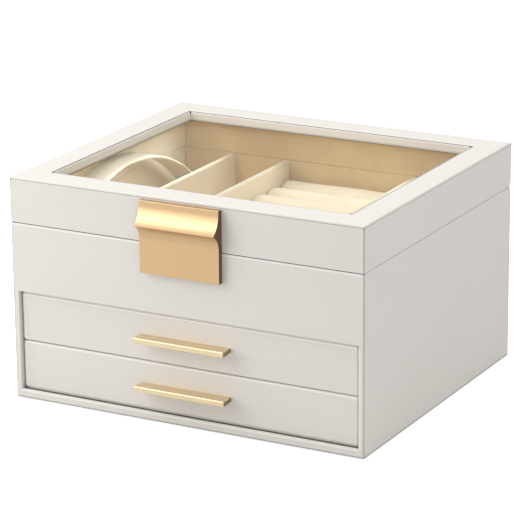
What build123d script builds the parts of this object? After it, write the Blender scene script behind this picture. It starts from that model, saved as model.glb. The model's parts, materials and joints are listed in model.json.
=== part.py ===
"""Jewellery box with a glass lid and two drawers, in millimetres.

The origin is at the centre of the underside, with +X to the right, +Y to the back and +Z up.
"""

from build123d import *

import os
from math import atan2, cos, radians, sin, sqrt, tan

os.makedirs("parts", exist_ok=True)

# Overall size of the closed box, without the clasp and the pulls
width = 280.0
depth = 244.0
height = 166.0

# Boards, linings and the gaps between them
side_board = 4.2
front_board = 6.0
back_board = 4.2
lining = 2.5
floor_lining = 2.0
lining_drop = 0.5
felt = 0.8
felt_inset = 3.0
edge_round = 0.45
snug = 0.2
soft_gap = 0.3

# Lid
lid_height = 33.3
rim_gap = 0.4
flange = 1.5
reveal = 7.3
frame_round = 0.9
side_rail = 22.0
front_rail = 24.0
back_rail = 24.0
bead = 1.6
bead_drop = 0.7
bead_round = 0.5
glass = 3.0
glass_play = 0.4

# Drawer opening and the boards round it
rail = 7.2
opening_height = 74.2
shelf = 2.5
compartment_floor = 3.0

# Drawers
drawer_gap = 2.1
top_gap = 1.8
middle_gap = 0.7
bottom_gap = 1.1
drawer_recess = 3.0
drawer_front = 6.0
drawer_round = 0.9
drawer_play = 2.4
drawer_run = 0.3
drawer_headroom = 2.4
drawer_back_gap = 4.0
drawer_side = 3.0
drawer_bottom = 2.5
drawer_lining = 1.2
drawer_divider = 2.4
divider_rise = 22.0
front_row = 84.0
front_row_bays = 4
lower_bay = 168.0

# Compartments under the lid, from left to right
divider = 4.5
divider_round = 1.6
bracelet_bay = 40.3
middle_bay = 42.5
ring_bay = 104.5

# Padded rolls that hold rings, and the arched bridge for bracelets
roll_count = 10
roll_drop = 11.0
roll_gap = 0.4
roll_end_taper = 0.8
roll_end_length = 4.0
roll_foot_round = 2.0
roll_crown_share = 0.7
bridge_width = 23.0
bridge_inset = 4.3
bridge_thickness = 3.0
bridge_headroom = 1.6
bridge_lean = 8.0
bridge_bevel = 0.9

# Clasp plate with its finger lip
clasp_width = 63.0
clasp_height = 52.6
clasp_drop = 2.4
clasp_thickness = 4.5
clasp_relief = 0.4
lip_reach = 7.0
lip_flat = 3.0
lip_flare = 13.2
lip_edge = 0.8
lip_under = 11.2
clasp_round = 0.4
clasp_screw_spacing = 36.0
clasp_screw_drop = 13.0
magnet_radius = 6.0
magnet_thickness = 2.5
keeper_thickness = 1.5
magnet_drop = 10.5

# Bar pulls: a flat head on a slightly smaller neck
pull_length = 72.5
head_depth = 8.0
head_height = 4.0
head_bevel = 0.4
neck_depth = 4.2
neck_step = 0.35
neck_inset = 0.7
pull_screw_spacing = 56.0

# Screws that hold the clasp and the pulls
screw_radius = 1.1
screw_play = 0.05
screw_head_radius = 2.4
screw_head = 1.3
screw_tip_cover = 1.2

# Hinges, with plates let into the back faces of the case and the lid
hinge_margin = 60.0
hinge_length = 32.0
hinge_inset = 1.0
open_angle = 100.0
leaf = 1.0
leaf_height = 12.0
barrel_radius = 1.9
barrel_gap = 0.15
knuckle_gap = 0.2
pin_radius = 0.9
pin_play = 0.05
hinge_screw_radius = 0.7
hinge_screw_head_radius = 1.3
hinge_screw_head = 0.5
hinge_screw_length = 3.2
hinge_screw_spacing = 20.0

# Faces and levels that several pieces share
half_width = width / 2
half_depth = depth / 2
side_face = half_width - side_board
front_face = -half_depth + front_board
back_face = half_depth - back_board
lining_x = side_face - lining
lining_front = front_face + lining
lining_back = back_face - lining
case_top = height - lid_height - rim_gap
lid_bottom = case_top + rim_gap
wall_top = height - flange
glass_top = height - reveal
glass_bottom = glass_top - glass
opening_top = rail + opening_height
compartment_bottom = opening_top + compartment_floor
bay_floor = compartment_bottom + floor_lining
drawer_face = -half_depth + drawer_recess
drawer_front_back = drawer_face + drawer_front
drawer_back = back_face - drawer_back_gap
front_height = (opening_height - top_gap - middle_gap - bottom_gap) / 2
shelf_middle = rail + opening_height / 2
axis_y = half_depth - hinge_inset
axis_z = case_top + rim_gap / 2


def save(piece, name):
    piece.part.label = name
    export_step(piece.part, f"parts/{name}.step")


def make_board(name, x, y, z, top_round=0.0):
    """A plain board between pairs of limits, with its long top edges rounded if asked."""
    with BuildPart() as piece:
        with BuildSketch(Plane.XY.offset(z[0])):
            with Locations(((x[0] + x[1]) / 2, (y[0] + y[1]) / 2)):
                Rectangle(x[1] - x[0], y[1] - y[0])
        extrude(amount=z[1] - z[0])
        if top_round:
            fillet(piece.faces().sort_by(Axis.Z)[-1].edges().filter_by(Axis.Y), top_round)
    save(piece, name)


def make_screws(name, places, direction, shank, length, head_radius, head):
    """Screws in one node, each with the top of its head at its place."""
    with BuildPart() as piece:
        for place in places:
            top = Plane(origin=place, z_dir=direction)
            with BuildSketch(top):
                Circle(head_radius)
            extrude(amount=head)
            with BuildSketch(top.offset(head)):
                Circle(shank)
            extrude(amount=length)
    save(piece, name)


# Plans of the walls, mitred at all four corners and used by the case and by the lid
front_plan = [
    (-half_width, -half_depth),
    (half_width, -half_depth),
    (side_face, front_face),
    (-side_face, front_face),
]
left_plan = [
    (-half_width, -half_depth),
    (-side_face, front_face),
    (-side_face, back_face),
    (-half_width, half_depth),
]
right_plan = [(-x, y) for x, y in reversed(left_plan)]
back_plan = [
    (-half_width, half_depth),
    (-side_face, back_face),
    (side_face, back_face),
    (half_width, half_depth),
]

# The back edges are bevelled from the hinge axis, so that the lid stops when the bevels meet
bevel_reach = hinge_inset + 1.0
bevel_fall = bevel_reach * tan(radians(open_angle / 2))


def bevel_outline(side):
    return [
        (axis_y, axis_z),
        (axis_y + bevel_reach, axis_z),
        (axis_y + bevel_reach, axis_z + side * bevel_fall),
    ]


def make_side(name, plan, z, outer_side, hinge_side):
    """A wrapped side wall with the edges of its outer face rounded."""
    with BuildPart() as piece:
        with BuildSketch(Plane.XY.offset(z[0])):
            with BuildLine():
                Polyline(*plan, close=True)
            make_face()
        extrude(amount=z[1] - z[0])
        fillet(piece.faces().sort_by(Axis.X)[outer_side].edges(), edge_round)
        with BuildSketch(Plane.YZ.offset(-half_width)):
            with BuildLine():
                Polyline(*bevel_outline(hinge_side), close=True)
            make_face()
        extrude(amount=width, mode=Mode.SUBTRACT)
    save(piece, name)


hinge_x = (hinge_margin - half_width, half_width - hinge_margin)
hinge_screw_x = [x + side * hinge_screw_spacing / 2 for x in hinge_x for side in (-1, 1)]
leaf_start = barrel_radius + barrel_gap
hinge_screw_rise = (leaf_start + leaf_height) / 2


def make_back(name, z, hinge_side):
    """A wrapped back wall with a bevel, seats for the hinges and holes for their screws."""
    seat_height = leaf_height + snug
    screw_z = axis_z + hinge_side * hinge_screw_rise
    with BuildPart() as piece:
        with BuildSketch(Plane.XY.offset(z[0])):
            with BuildLine():
                Polyline(*back_plan, close=True)
            make_face()
        extrude(amount=z[1] - z[0])
        fillet(piece.faces().sort_by(Axis.Y)[-1].edges(), edge_round)
        with BuildSketch(Plane.YZ.offset(-half_width)):
            with BuildLine():
                Polyline(*bevel_outline(hinge_side), close=True)
            make_face()
        extrude(amount=width, mode=Mode.SUBTRACT)
        with BuildSketch(Plane.XZ.offset(-half_depth)):
            with Locations(*[(x, axis_z + hinge_side * seat_height / 2) for x in hinge_x]):
                Rectangle(hinge_length + 2 * snug, seat_height)
        extrude(amount=leaf, mode=Mode.SUBTRACT)
        for x in hinge_x:
            with BuildSketch(Plane.YZ.offset(x - hinge_length / 2 - snug)):
                with Locations((axis_y, axis_z)):
                    Circle(leaf_start)
            extrude(amount=hinge_length + 2 * snug, mode=Mode.SUBTRACT)
        with BuildSketch(Plane.XZ.offset(-half_depth)):
            with Locations(*[(x, screw_z) for x in hinge_screw_x]):
                Circle(hinge_screw_radius + screw_play)
        extrude(amount=hinge_screw_length, mode=Mode.SUBTRACT)
    save(piece, name)


# Case walls
case_z = (felt, case_top)
make_side("left_side_panel", left_plan, case_z, 0, -1)
make_side("right_side_panel", right_plan, case_z, -1, -1)
make_back("back_panel", case_z, -1)

magnet_z = case_top - magnet_drop
with BuildPart() as front_frame:
    with BuildSketch(Plane.XY.offset(felt)):
        with BuildLine():
            Polyline(*front_plan, close=True)
        make_face()
    extrude(amount=case_top - felt)
    fillet(front_frame.faces().sort_by(Axis.Y)[0].edges(), edge_round)
    with BuildSketch(Plane.XZ.offset(-front_face)):
        with Locations((0, shelf_middle)):
            Rectangle(2 * side_face, opening_height)
    extrude(amount=front_board, mode=Mode.SUBTRACT)
    fillet(front_frame.faces().sort_by(Axis.Y)[0].inner_wires()[0].edges(), edge_round)
    with BuildSketch(Plane.XZ.offset(-front_face)):
        with Locations((0, magnet_z)):
            Circle(magnet_radius + snug)
    extrude(amount=magnet_thickness, mode=Mode.SUBTRACT)
save(front_frame, "front_frame")

with BuildPart() as case_magnet:
    with BuildSketch(Plane.XZ.offset(-front_face)):
        with Locations((0, magnet_z)):
            Circle(magnet_radius)
    extrude(amount=magnet_thickness)
save(case_magnet, "case_magnet")

# Base, shelf and floor
inner_x = (-side_face, side_face)
inner_y = (front_face, back_face)
felt_x = (-half_width + felt_inset, half_width - felt_inset)
felt_y = (-half_depth + felt_inset, half_depth - felt_inset)
make_board("base_felt", felt_x, felt_y, (0, felt))
make_board("base_panel", inner_x, inner_y, (felt, rail))
shelf_z = (shelf_middle - shelf / 2, shelf_middle + shelf / 2)
make_board("drawer_shelf", inner_x, (drawer_front_back + drawer_run, back_face), shelf_z)
make_board("compartment_floor", inner_x, inner_y, (opening_top, compartment_bottom))
make_board("floor_lining", inner_x, inner_y, (compartment_bottom, bay_floor))


def make_linings(prefix, z):
    """Four velvet-covered boards that line the inside of the walls."""
    make_board(prefix + "left_lining", (-side_face, -lining_x), inner_y, z)
    make_board(prefix + "right_lining", (lining_x, side_face), inner_y, z)
    make_board(prefix + "front_lining", (-lining_x, lining_x), (front_face, lining_front), z)
    make_board(prefix + "back_lining", (-lining_x, lining_x), (lining_back, back_face), z)


lining_top = case_top - lining_drop
make_linings("", (bay_floor, lining_top))

# Dividers between the compartments
bay_y = (lining_front, lining_back)
left_divider_x = -lining_x + bracelet_bay
middle_divider_x = left_divider_x + divider + middle_bay
right_divider_x = middle_divider_x + divider + ring_bay
for name, x in (
    ("left_divider", left_divider_x),
    ("middle_divider", middle_divider_x),
    ("right_divider", right_divider_x),
):
    make_board(name, (x, x + divider), bay_y, (bay_floor, lining_top), divider_round)

# Ring rolls: upright padded strips with a round top, drawn in at both ends
roll_pitch = (lining_back - lining_front) / roll_count
roll_half = (roll_pitch - roll_gap) / 2
roll_top = case_top - roll_drop
roll_x = (middle_divider_x + divider + soft_gap, right_divider_x - soft_gap)
roll_stations = (
    (roll_x[0], roll_end_taper),
    (roll_x[0] + roll_end_length, 0),
    (roll_x[1] - roll_end_length, 0),
    (roll_x[1], roll_end_taper),
)
with BuildPart() as ring_rolls:
    for index in range(roll_count):
        middle = lining_front + (index + 0.5) * roll_pitch
        for x, taper in roll_stations:
            half = roll_half - taper
            crown = roll_top - taper
            rise = min(half, roll_crown_share * (crown - bay_floor))
            shoulder = crown - rise
            foot_round = min(roll_foot_round, (shoulder - bay_floor) / 2)
            foot = half - foot_round
            heel = bay_floor + foot_round
            bend = atan2(rise, half)
            radius = (half**2 + rise**2) / (2 * rise)
            side = radius * sin(bend)
            lift = crown - radius * (1 - cos(bend))
            with BuildSketch(Plane.YZ.offset(x)):
                with BuildLine():
                    Polyline(
                        (middle - half, shoulder),
                        (middle - half, heel),
                        (middle - foot, bay_floor),
                        (middle + foot, bay_floor),
                        (middle + half, heel),
                        (middle + half, shoulder),
                    )
                    ThreePointArc(
                        (middle + half, shoulder),
                        (middle + side, lift),
                        (middle, crown),
                    )
                    ThreePointArc(
                        (middle, crown),
                        (middle - side, lift),
                        (middle - half, shoulder),
                    )
                make_face()
        loft(ruled=True)
save(ring_rolls, "ring_rolls")

# Bracelet bridge: a padded strip bent into an arch between the front and the back lining
bridge_x = -lining_x + bridge_inset
bridge_apex = (lining_front + lining_back) / 2 - bridge_lean
bridge_rise = glass_bottom - bridge_headroom - bay_floor
bridge_top = bay_floor + bridge_rise


def arch_half(foot, side):
    """Three points on the middle line of one half of the arch, from its top to just below the floor."""
    span = abs(foot - bridge_apex)
    outer = (span**2 + bridge_rise**2) / (2 * bridge_rise)
    radius = outer - bridge_thickness / 2
    centre_z = bridge_top - outer
    reach = sqrt(radius**2 - (bay_floor - bridge_thickness - centre_z) ** 2)
    return [
        (bridge_apex + side * reach * part, centre_z + sqrt(radius**2 - (reach * part) ** 2))
        for part in (0, 0.6, 1)
    ]


front_half = arch_half(lining_front + soft_gap, -1)
back_half = arch_half(lining_back - soft_gap, 1)
with BuildPart() as bracelet_bridge:
    with BuildLine(Plane.YZ.offset(bridge_x + bridge_width / 2)) as spine:
        ThreePointArc(*reversed(front_half))
        ThreePointArc(*back_half)
    spine_wire = spine.wires()[0]
    with BuildSketch(Plane(origin=spine_wire @ 0, x_dir=(1, 0, 0), z_dir=spine_wire % 0)):
        strip = Rectangle(bridge_width, bridge_thickness)
        chamfer(strip.vertices(), bridge_bevel)
    sweep(path=spine_wire)
    with BuildSketch(Plane.XY.offset(bay_floor)):
        Rectangle(width, depth)
    extrude(amount=-bay_floor, mode=Mode.SUBTRACT)
save(bracelet_bridge, "bracelet_bridge")

# Lid walls, linings and glass
lid_z = (lid_bottom, wall_top)
make_side("lid_left_wall", left_plan, lid_z, 0, 1)
make_side("lid_right_wall", right_plan, lid_z, -1, 1)
make_back("lid_back_wall", lid_z, 1)
make_linings("lid_", (lid_bottom, glass_bottom))

clasp_top = height - clasp_drop
clasp_screw_z = clasp_top - clasp_screw_drop
clasp_screw_x = (-clasp_screw_spacing / 2, clasp_screw_spacing / 2)
with BuildPart() as lid_front_wall:
    with BuildSketch(Plane.XY.offset(lid_bottom)):
        with BuildLine():
            Polyline(*front_plan, close=True)
        make_face()
    extrude(amount=wall_top - lid_bottom)
    fillet(lid_front_wall.faces().sort_by(Axis.Y)[0].edges(), edge_round)
    with BuildSketch(Plane.XZ.offset(-front_face)):
        with Locations(*[(x, clasp_screw_z) for x in clasp_screw_x]):
            Circle(screw_head_radius + screw_play)
    extrude(amount=screw_head, mode=Mode.SUBTRACT)
    with BuildSketch(Plane.XZ.offset(-front_face)):
        with Locations(*[(x, clasp_screw_z) for x in clasp_screw_x]):
            Circle(screw_radius + screw_play)
    extrude(amount=front_board, mode=Mode.SUBTRACT)
save(lid_front_wall, "lid_front_wall")

glass_x = (-side_face + glass_play, side_face - glass_play)
glass_y = (front_face + glass_play, back_face - glass_play)
make_board("glass_pane", glass_x, glass_y, (glass_bottom, glass_top))

# Top frame of the lid and the bead round its window
window_width = width - 2 * side_rail
window_depth = depth - front_rail - back_rail
window_y = (front_rail - back_rail) / 2
with BuildPart() as lid_top_frame:
    with BuildSketch(Plane.XY.offset(wall_top)):
        Rectangle(width, depth)
    extrude(amount=flange)
    with BuildSketch(Plane.XY.offset(glass_top)):
        with Locations((0, (front_face + back_face) / 2)):
            Rectangle(2 * (side_face - snug), back_face - front_face - 2 * snug)
    extrude(amount=wall_top - glass_top)
    with BuildSketch(Plane.XY.offset(glass_top)):
        with Locations((0, window_y)):
            Rectangle(window_width + 2 * bead, window_depth + 2 * bead)
    extrude(amount=reveal, mode=Mode.SUBTRACT)
    fillet(lid_top_frame.faces().sort_by(Axis.Z)[-1].edges(), frame_round)
save(lid_top_frame, "lid_top_frame")

with BuildPart() as window_bead:
    with BuildSketch(Plane.XY.offset(glass_top)):
        with Locations((0, window_y)):
            Rectangle(window_width + 2 * bead, window_depth + 2 * bead)
            Rectangle(window_width, window_depth, mode=Mode.SUBTRACT)
    extrude(amount=reveal - bead_drop)
    fillet(window_bead.faces().sort_by(Axis.Z)[-1].edges(), bead_round)
save(window_bead, "window_bead")

# Clasp plate: a flat plate that flares out to a finger lip and curves back under it
plate_back = -half_depth
plate_front = plate_back - clasp_thickness
lip_tip = plate_front - lip_reach
clasp_bottom = clasp_top - clasp_height
flare_top = clasp_top - lip_flat
flare_bottom = flare_top - lip_flare
under_top = flare_bottom - lip_edge
under_bottom = under_top - lip_under
flare_radius = (lip_reach**2 + lip_flare**2) / (2 * lip_reach)
under_radius = (lip_reach**2 + lip_under**2) / (2 * lip_reach)
keeper_plane = Plane.XZ.offset(-plate_back + clasp_relief)
with BuildPart() as clasp_plate:
    with BuildSketch(Plane.YZ.offset(-clasp_width / 2)):
        with BuildLine():
            Polyline(
                (plate_front, under_bottom),
                (plate_front, clasp_bottom),
                (plate_back - clasp_relief, clasp_bottom),
                (plate_back - clasp_relief, lid_bottom),
                (plate_back, lid_bottom),
                (plate_back, clasp_top),
                (plate_front, clasp_top),
                (plate_front, flare_top),
            )
            RadiusArc((plate_front, flare_top), (lip_tip, flare_bottom), flare_radius)
            Line((lip_tip, flare_bottom), (lip_tip, under_top))
            RadiusArc((lip_tip, under_top), (plate_front, under_bottom), under_radius)
        make_face()
    extrude(amount=clasp_width)
    rims = clasp_plate.edges().filter_by(Axis.X).group_by(Axis.Z)
    fillet([rims[0].sort_by(Axis.Y)[0], rims[-1].sort_by(Axis.Y)[0]], clasp_round)
    with BuildSketch(Plane.XZ.offset(-plate_back)):
        with Locations(*[(x, clasp_screw_z) for x in clasp_screw_x]):
            Circle(screw_radius + screw_play)
    extrude(amount=clasp_thickness - screw_tip_cover, mode=Mode.SUBTRACT)
    with BuildSketch(keeper_plane):
        with Locations((0, magnet_z)):
            Circle(magnet_radius + snug)
    extrude(amount=keeper_thickness, mode=Mode.SUBTRACT)
save(clasp_plate, "clasp_plate")

with BuildPart() as clasp_keeper:
    with BuildSketch(keeper_plane):
        with Locations((0, magnet_z)):
            Circle(magnet_radius)
    extrude(amount=keeper_thickness)
save(clasp_keeper, "clasp_keeper")

forward = (0, -1, 0)
make_screws(
    "clasp_screws",
    [(x, front_face, clasp_screw_z) for x in clasp_screw_x],
    forward,
    screw_radius,
    front_board - screw_head + clasp_thickness - screw_tip_cover - snug,
    screw_head_radius,
    screw_head,
)


# Hinges
def make_leaf(name, x, side, knuckles):
    """One hinge leaf: an upright plate in its seat and the knuckles round the pin."""
    face = Plane.XZ.offset(-half_depth)
    with BuildPart() as piece:
        with BuildSketch(face):
            with Locations((x, axis_z + side * (leaf_start + leaf_height) / 2)):
                Rectangle(hinge_length, leaf_height - leaf_start)
        extrude(amount=leaf)
        for low, high in knuckles:
            with BuildSketch(face):
                with Locations((x + (low + high) / 2, axis_z + side * leaf_start / 2)):
                    Rectangle(high - low, leaf_start)
            extrude(amount=leaf)
            with BuildSketch(Plane.YZ.offset(x + low)):
                with Locations((axis_y, axis_z)):
                    Circle(barrel_radius)
            extrude(amount=high - low)
        with BuildSketch(Plane.YZ.offset(x - hinge_length / 2)):
            with Locations((axis_y, axis_z)):
                Circle(pin_radius + pin_play)
        extrude(amount=hinge_length, mode=Mode.SUBTRACT)
        screw_z = axis_z + side * hinge_screw_rise
        places = [(x + s * hinge_screw_spacing / 2, screw_z) for s in (-1, 1)]
        with BuildSketch(face):
            with Locations(*places):
                Circle(hinge_screw_head_radius + screw_play)
        extrude(amount=hinge_screw_head, mode=Mode.SUBTRACT)
        with BuildSketch(face):
            with Locations(*places):
                Circle(hinge_screw_radius + screw_play)
        extrude(amount=leaf, mode=Mode.SUBTRACT)
    save(piece, name)


middle_knuckle = hinge_length / 6
outer_knuckles = (
    (-hinge_length / 2, -middle_knuckle - knuckle_gap),
    (middle_knuckle + knuckle_gap, hinge_length / 2),
)
for side_name, x in zip(("left", "right"), hinge_x):
    make_leaf(f"{side_name}_hinge_case_leaf", x, -1, outer_knuckles)
    make_leaf(f"{side_name}_hinge_lid_leaf", x, 1, ((-middle_knuckle, middle_knuckle),))

with BuildPart() as hinge_pins:
    for x in hinge_x:
        with BuildSketch(Plane.YZ.offset(x - hinge_length / 2)):
            with Locations((axis_y, axis_z)):
                Circle(pin_radius)
        extrude(amount=hinge_length)
save(hinge_pins, "hinge_pins")

for name, side in (("case_hinge_screws", -1), ("lid_hinge_screws", 1)):
    make_screws(
        name,
        [(x, half_depth, axis_z + side * hinge_screw_rise) for x in hinge_screw_x],
        forward,
        hinge_screw_radius,
        hinge_screw_length - hinge_screw_head,
        hinge_screw_head_radius,
        hinge_screw_head,
    )

# Drawers
pull_screw_x = (-pull_screw_spacing / 2, pull_screw_spacing / 2)
drawer_x = side_face - drawer_play
box_x = drawer_x - drawer_side
box_y = (drawer_front_back, drawer_back - drawer_side)


def make_pull(name, z):
    """A flat bar whose neck stands on the drawer front."""
    head_back = drawer_face - neck_depth
    with BuildPart() as piece:
        with BuildSketch(Plane.XY.offset(z - head_height / 2)):
            with Locations((0, head_back - head_depth / 2)):
                Rectangle(pull_length, head_depth)
        extrude(amount=head_height)
        chamfer(piece.edges(), head_bevel)
        with BuildSketch(Plane.XZ.offset(-drawer_face)):
            with Locations((0, z)):
                Rectangle(pull_length - 2 * neck_inset, head_height - 2 * neck_step)
        extrude(amount=neck_depth + head_bevel)
        with BuildSketch(Plane.XZ.offset(-drawer_face)):
            with Locations(*[(x, z) for x in pull_screw_x]):
                Circle(screw_radius + screw_play)
        extrude(amount=neck_depth + snug, mode=Mode.SUBTRACT)
    save(piece, name)


def make_drawer(prefix, front_z, box_z):
    """The boards, lining, pull and screws of one drawer."""
    pull_z = (front_z[0] + front_z[1]) / 2
    with BuildPart() as front:
        with BuildSketch(Plane.XZ.offset(-drawer_front_back)):
            with Locations((0, pull_z)):
                Rectangle(2 * (side_face - drawer_gap), front_z[1] - front_z[0])
        extrude(amount=drawer_front)
        fillet(front.faces().sort_by(Axis.Y)[0].edges(), drawer_round)
        with BuildSketch(Plane.XZ.offset(-drawer_front_back)):
            with Locations(*[(x, pull_z) for x in pull_screw_x]):
                Circle(screw_head_radius + screw_play)
        extrude(amount=screw_head, mode=Mode.SUBTRACT)
        with BuildSketch(Plane.XZ.offset(-drawer_front_back)):
            with Locations(*[(x, pull_z) for x in pull_screw_x]):
                Circle(screw_radius + screw_play)
        extrude(amount=drawer_front, mode=Mode.SUBTRACT)
    save(front, prefix + "front")
    side_y = (drawer_front_back, drawer_back)
    make_board(prefix + "left_side", (-drawer_x, -box_x), side_y, box_z)
    make_board(prefix + "right_side", (box_x, drawer_x), side_y, box_z)
    make_board(prefix + "back", (-box_x, box_x), (box_y[1], drawer_back), box_z)
    floor_top = box_z[0] + drawer_bottom
    make_board(prefix + "bottom", (-box_x, box_x), box_y, (box_z[0], floor_top))
    velvet_top = floor_top + drawer_lining
    make_board(prefix + "lining", (-box_x, box_x), box_y, (floor_top, velvet_top))
    make_pull(prefix + "pull", pull_z)
    make_screws(
        prefix + "pull_screws",
        [(x, drawer_front_back, pull_z) for x in pull_screw_x],
        forward,
        screw_radius,
        drawer_front - screw_head + neck_depth,
        screw_head_radius,
        screw_head,
    )
    return velvet_top, velvet_top + divider_rise


lower_front_z = (rail + bottom_gap, rail + bottom_gap + front_height)
upper_front_z = (opening_top - top_gap - front_height, opening_top - top_gap)
lower_box_z = (rail + drawer_run, shelf_z[0] - drawer_headroom)
upper_box_z = (shelf_z[1] + drawer_run, opening_top - drawer_headroom)

# The lower drawer has one wide bay and one narrow bay
lower_divider_z = make_drawer("lower_drawer_", lower_front_z, lower_box_z)
lower_divider_x = (-box_x + lower_bay, -box_x + lower_bay + drawer_divider)
make_board("lower_drawer_divider", lower_divider_x, box_y, lower_divider_z)

# The upper drawer has a row of small bays at the front and one long bay behind it
upper_divider_z = make_drawer("upper_drawer_", upper_front_z, upper_box_z)
long_divider_y = (box_y[0] + front_row, box_y[0] + front_row + drawer_divider)
make_board("upper_drawer_long_divider", (-box_x, box_x), long_divider_y, upper_divider_z)
bay_width = (2 * box_x - (front_row_bays - 1) * drawer_divider) / front_row_bays
with BuildPart() as cross_dividers:
    with BuildSketch(Plane.XY.offset(upper_divider_z[0])):
        with Locations((0, box_y[0] + front_row / 2)):
            with GridLocations(bay_width + drawer_divider, 1, front_row_bays - 1, 1):
                Rectangle(drawer_divider, front_row)
    extrude(amount=divider_rise)
save(cross_dividers, "upper_drawer_cross_dividers")
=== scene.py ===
import json
import math
import random

import bmesh
import bpy
import numpy as np
from mathutils import Matrix, Vector


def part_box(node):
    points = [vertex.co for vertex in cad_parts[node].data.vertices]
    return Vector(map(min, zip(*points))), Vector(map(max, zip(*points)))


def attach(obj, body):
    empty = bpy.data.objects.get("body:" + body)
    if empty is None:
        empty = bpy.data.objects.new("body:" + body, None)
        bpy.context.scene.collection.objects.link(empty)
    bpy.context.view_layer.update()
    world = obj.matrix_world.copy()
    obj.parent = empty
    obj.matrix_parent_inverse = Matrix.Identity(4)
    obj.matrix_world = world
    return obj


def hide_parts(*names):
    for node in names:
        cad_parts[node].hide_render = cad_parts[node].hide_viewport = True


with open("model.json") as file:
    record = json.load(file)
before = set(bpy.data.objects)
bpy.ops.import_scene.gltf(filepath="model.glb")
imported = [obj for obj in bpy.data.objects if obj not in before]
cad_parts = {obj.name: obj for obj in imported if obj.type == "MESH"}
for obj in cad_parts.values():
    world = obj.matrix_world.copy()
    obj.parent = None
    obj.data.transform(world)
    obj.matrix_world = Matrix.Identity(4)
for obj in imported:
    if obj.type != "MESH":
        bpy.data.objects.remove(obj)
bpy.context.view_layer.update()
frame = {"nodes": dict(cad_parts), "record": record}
nodes = frame["nodes"]
bodies = frame["record"]["behaviour"]["bodies"]
bodyOf = {node: body for body, members in bodies.items() for node in members}
scene = bpy.context.scene
print("stage: frame loaded,", len(nodes), "nodes")

# Colours are written as they look, from 0 to 255, and used as linear values


def linear(red, green, blue):
    values = []
    for value in (red, green, blue):
        share = value / 255
        values.append(share / 12.92 if share <= 0.04045 else ((share + 0.055) / 1.055) ** 2.4)
    return (*values, 1.0)


def link(tree, source, target):
    tree.links.new(source, target)


def addNode(tree, kind, x, y, **values):
    node = tree.nodes.new(kind)
    node.location = (x, y)
    for name, value in values.items():
        if hasattr(node, name):
            setattr(node, name, value)
        else:
            node.inputs[name].default_value = value
    return node


def newGroup(name, inputs, outputs):
    group = bpy.data.node_groups.new(name, "ShaderNodeTree")
    for label, kind, value in inputs:
        socket = group.interface.new_socket(label, in_out="INPUT", socket_type=kind)
        if value is not None:
            socket.default_value = value
    for label, kind in outputs:
        group.interface.new_socket(label, in_out="OUTPUT", socket_type=kind)
    entry = group.nodes.new("NodeGroupInput")
    entry.location = (-900, 0)
    leave = group.nodes.new("NodeGroupOutput")
    leave.location = (900, 0)
    return group, entry, leave


def mathNode(tree, operation, x, y, first, second=None, third=None):
    node = tree.nodes.new("ShaderNodeMath")
    node.operation = operation
    node.location = (x, y)
    for index, value in enumerate((first, second, third)):
        if value is None:
            continue
        if isinstance(value, (int, float)):
            node.inputs[index].default_value = value
        else:
            tree.links.new(value, node.inputs[index])
    return node.outputs[0]


def mixColour(tree, x, y, factor, first, second):
    node = tree.nodes.new("ShaderNodeMix")
    node.data_type = "RGBA"
    node.location = (x, y)
    colourInputs = [socket for socket in node.inputs if socket.type == "RGBA"]
    factorInput = next(socket for socket in node.inputs if socket.type == "VALUE")
    for socket, value in ((factorInput, factor), (colourInputs[0], first), (colourInputs[1], second)):
        if isinstance(value, (int, float, tuple)):
            socket.default_value = value
        else:
            tree.links.new(value, socket)
    return next(socket for socket in node.outputs if socket.type == "RGBA")


# Pebbled leather grain: small rounded cells with fine pores, and a slow change of tone

leatherLook = {
    "warpScale": 260.0, "warp": 0.0006, "smoothness": 0.35, "poreScale": 3200.0, "poreHeight": 0.22,
    "slowScale": 16.0, "slowTone": 0.5, "creviceTone": 0.35, "roughSwing": 0.12,
    "cellsPerMetre": 880.0, "shine": 0.38, "bumpDepth": 0.00012,
}


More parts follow.
